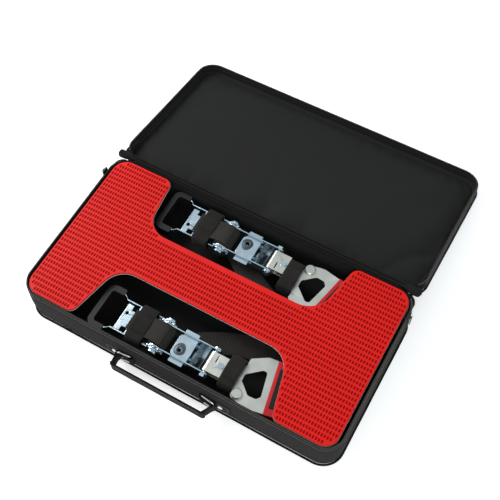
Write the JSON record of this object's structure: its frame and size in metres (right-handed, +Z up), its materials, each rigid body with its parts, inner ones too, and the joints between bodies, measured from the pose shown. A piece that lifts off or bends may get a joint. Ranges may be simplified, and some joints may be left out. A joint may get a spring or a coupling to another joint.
{
  "type": "wheel crampon kit in a carry case",
  "caption": "Open zipped fabric case holding an H-shaped red grip mat and two ratchet-strap wheel crampons with claw arms, for driving a car on snow or ice.",
  "frame": {"origin": "middle of the case's underside, on the surface it stands on", "axes": "+X along the case, +Y towards the hinge and the open lid, +Z up out of the case"},
  "size_m": [0.5656, 0.605, 0.0842],
  "materials": {
    "case_fabric": "woven nylon",
    "lining": "smooth lining",
    "zip_tape": "woven tape",
    "handle_webbing": "woven webbing",
    "ring_steel": "polished",
    "slider_metal": "black",
    "mat_backing": "matt",
    "mat_red": "satin",
    "zinc_steel": "zinc plated",
    "nickel_steel": "satin nickel",
    "claw_red": "powder coated",
    "claw_rubber": "matt",
    "webbing": "ribbed webbing",
    "hook_band": "hook and loop",
    "grip_plastic": "moulded"
  },
  "bodies": {
    "case": {"base_shell": "case_fabric", "base_liner": "lining", "base_zip": "zip_tape", "base_piping": "case_fabric", "hinge_welt": "case_fabric", "zip_end_tabs": "case_fabric", "handle_anchors": "handle_webbing", "handle_rivets": "nickel_steel", "handle_rings": "ring_steel", "near_frame": "zinc_steel", "near_lock_springs": "zinc_steel", "near_spring_retainer": "nickel_steel", "near_fasteners": "zinc_steel", "near_end_bracket": "nickel_steel", "near_end_band": "hook_band", "near_arm_plate": "nickel_steel", "near_arm_pin": "nickel_steel", "near_claw_bar": "claw_red", "near_claw_pads": "claw_rubber", "near_rear_arm": "nickel_steel", "near_strap": "webbing", "far_frame": "zinc_steel", "far_lock_springs": "zinc_steel", "far_spring_retainer": "nickel_steel", "far_fasteners": "zinc_steel", "far_end_bracket": "nickel_steel", "far_end_band": "hook_band", "far_arm_plate": "nickel_steel", "far_arm_pin": "nickel_steel", "far_claw_bar": "claw_red", "far_claw_pads": "claw_rubber", "far_rear_arm": "nickel_steel", "far_strap": "webbing"},
    "lid": {"lid_shell": "case_fabric", "lid_liner": "lining", "lid_zip": "zip_tape", "lid_piping": "case_fabric"},
    "mat": {"mat_backing": "mat_backing", "mat_grip_layer": "mat_red"},
    "left_leg": {"handle_left_leg": "handle_webbing"},
    "grip_bar": {"handle_grip_bar": "handle_webbing"},
    "right_leg": {"handle_right_leg": "handle_webbing"},
    "left_slider": {"left_zip_slider": "slider_metal"},
    "right_slider": {"right_zip_slider": "slider_metal"},
    "near_spool_turns": {"near_spool_shaft": "zinc_steel", "near_ratchet_gears": "zinc_steel", "near_wound_webbing": "webbing"},
    "near_lever_swings": {"near_lever": "zinc_steel", "near_lever_grip": "grip_plastic", "near_lever_band": "hook_band"},
    "near_drive": {"near_drive_pawl": "zinc_steel"},
    "near_lock": {"near_lock_pawl": "zinc_steel"},
    "far_spool_turns": {"far_spool_shaft": "zinc_steel", "far_ratchet_gears": "zinc_steel", "far_wound_webbing": "webbing"},
    "far_lever_swings": {"far_lever": "zinc_steel", "far_lever_grip": "grip_plastic", "far_lever_band": "hook_band"},
    "far_drive": {"far_drive_pawl": "zinc_steel"},
    "far_lock": {"far_lock_pawl": "zinc_steel"}
  },
  "joints": [
    {"name": "lid_hinge", "type": "hinge", "parent": "case", "child": "lid", "pos_m": [0, 0.1475, 0.07965], "axis": [-1, 0, 0], "range_deg": [-190.7, 0]},
    {"name": "mat_lift", "type": "slide", "parent": "case", "child": "mat", "axis": [0, 0, 1], "range_m": [0, 0.12]},
    {"name": "handle_fold", "type": "hinge", "parent": "case", "child": "left_leg", "pos_m": [-0.0934, -0.1495, 0.03], "axis": [0, 0, 1], "range_deg": [-60, 60]},
    {"name": "grip_corner", "type": "hinge", "parent": "left_leg", "child": "grip_bar", "pos_m": [-0.0934, -0.1665, 0.03], "axis": [0, 0, 1], "range_deg": [-64, 64]},
    {"name": "right_leg_fold", "type": "hinge", "parent": "case", "child": "right_leg", "pos_m": [0.0794, -0.1495, 0.03], "axis": [0, 0, 1], "range_deg": [-64, 64]},
    {"name": "left_zip_run", "type": "slide", "parent": "case", "child": "left_slider", "axis": [0, -1, 0], "range_m": [0, 0.19]},
    {"name": "right_zip_run", "type": "slide", "parent": "case", "child": "right_slider", "axis": [0, -1, 0], "range_m": [0, 0.19]},
    {"name": "near_lever_swing", "type": "hinge", "parent": "case", "child": "near_lever_swings", "pos_m": [-0.042, -0.0995, 0.056], "axis": [0, 1, 0], "range_deg": [0, 115]},
    {"name": "near_drive_pawl_slide", "type": "slide", "parent": "near_lever_swings", "child": "near_drive", "axis": [-1, 0, 0], "range_m": [0, 0.005], "stiffness_N_per_m": 400, "springref_m": -0.004},
    {"name": "near_spool_turn", "type": "hinge", "parent": "case", "child": "near_spool_turns", "pos_m": [-0.042, -0.0995, 0.056], "axis": [0, 1, 0], "continuous": true},
    {"name": "near_lock_pawl_slide", "type": "slide", "parent": "case", "child": "near_lock", "axis": [1, 0, 0], "range_m": [0, 0.005], "stiffness_N_per_m": 400, "springref_m": -0.004, "deforming": ["near_lock_springs"]},
    {"name": "far_lever_swing", "type": "hinge", "parent": "case", "child": "far_lever_swings", "pos_m": [-0.042, 0.0995, 0.056], "axis": [0, 1, 0], "range_deg": [0, 115]},
    {"name": "far_drive_pawl_slide", "type": "slide", "parent": "far_lever_swings", "child": "far_drive", "axis": [-1, 0, 0], "range_m": [0, 0.005], "stiffness_N_per_m": 400, "springref_m": -0.004},
    {"name": "far_spool_turn", "type": "hinge", "parent": "case", "child": "far_spool_turns", "pos_m": [-0.042, 0.0995, 0.056], "axis": [0, 1, 0], "continuous": true},
    {"name": "far_lock_pawl_slide", "type": "slide", "parent": "case", "child": "far_lock", "axis": [1, 0, 0], "range_m": [0, 0.005], "stiffness_N_per_m": 400, "springref_m": -0.004, "deforming": ["far_lock_springs"]}
  ],
  "couplings": [
    {"joint": "grip_corner", "follows": "handle_fold", "ratio": -1},
    {"joint": "right_leg_fold", "follows": "handle_fold", "ratio": 1}
  ]
}
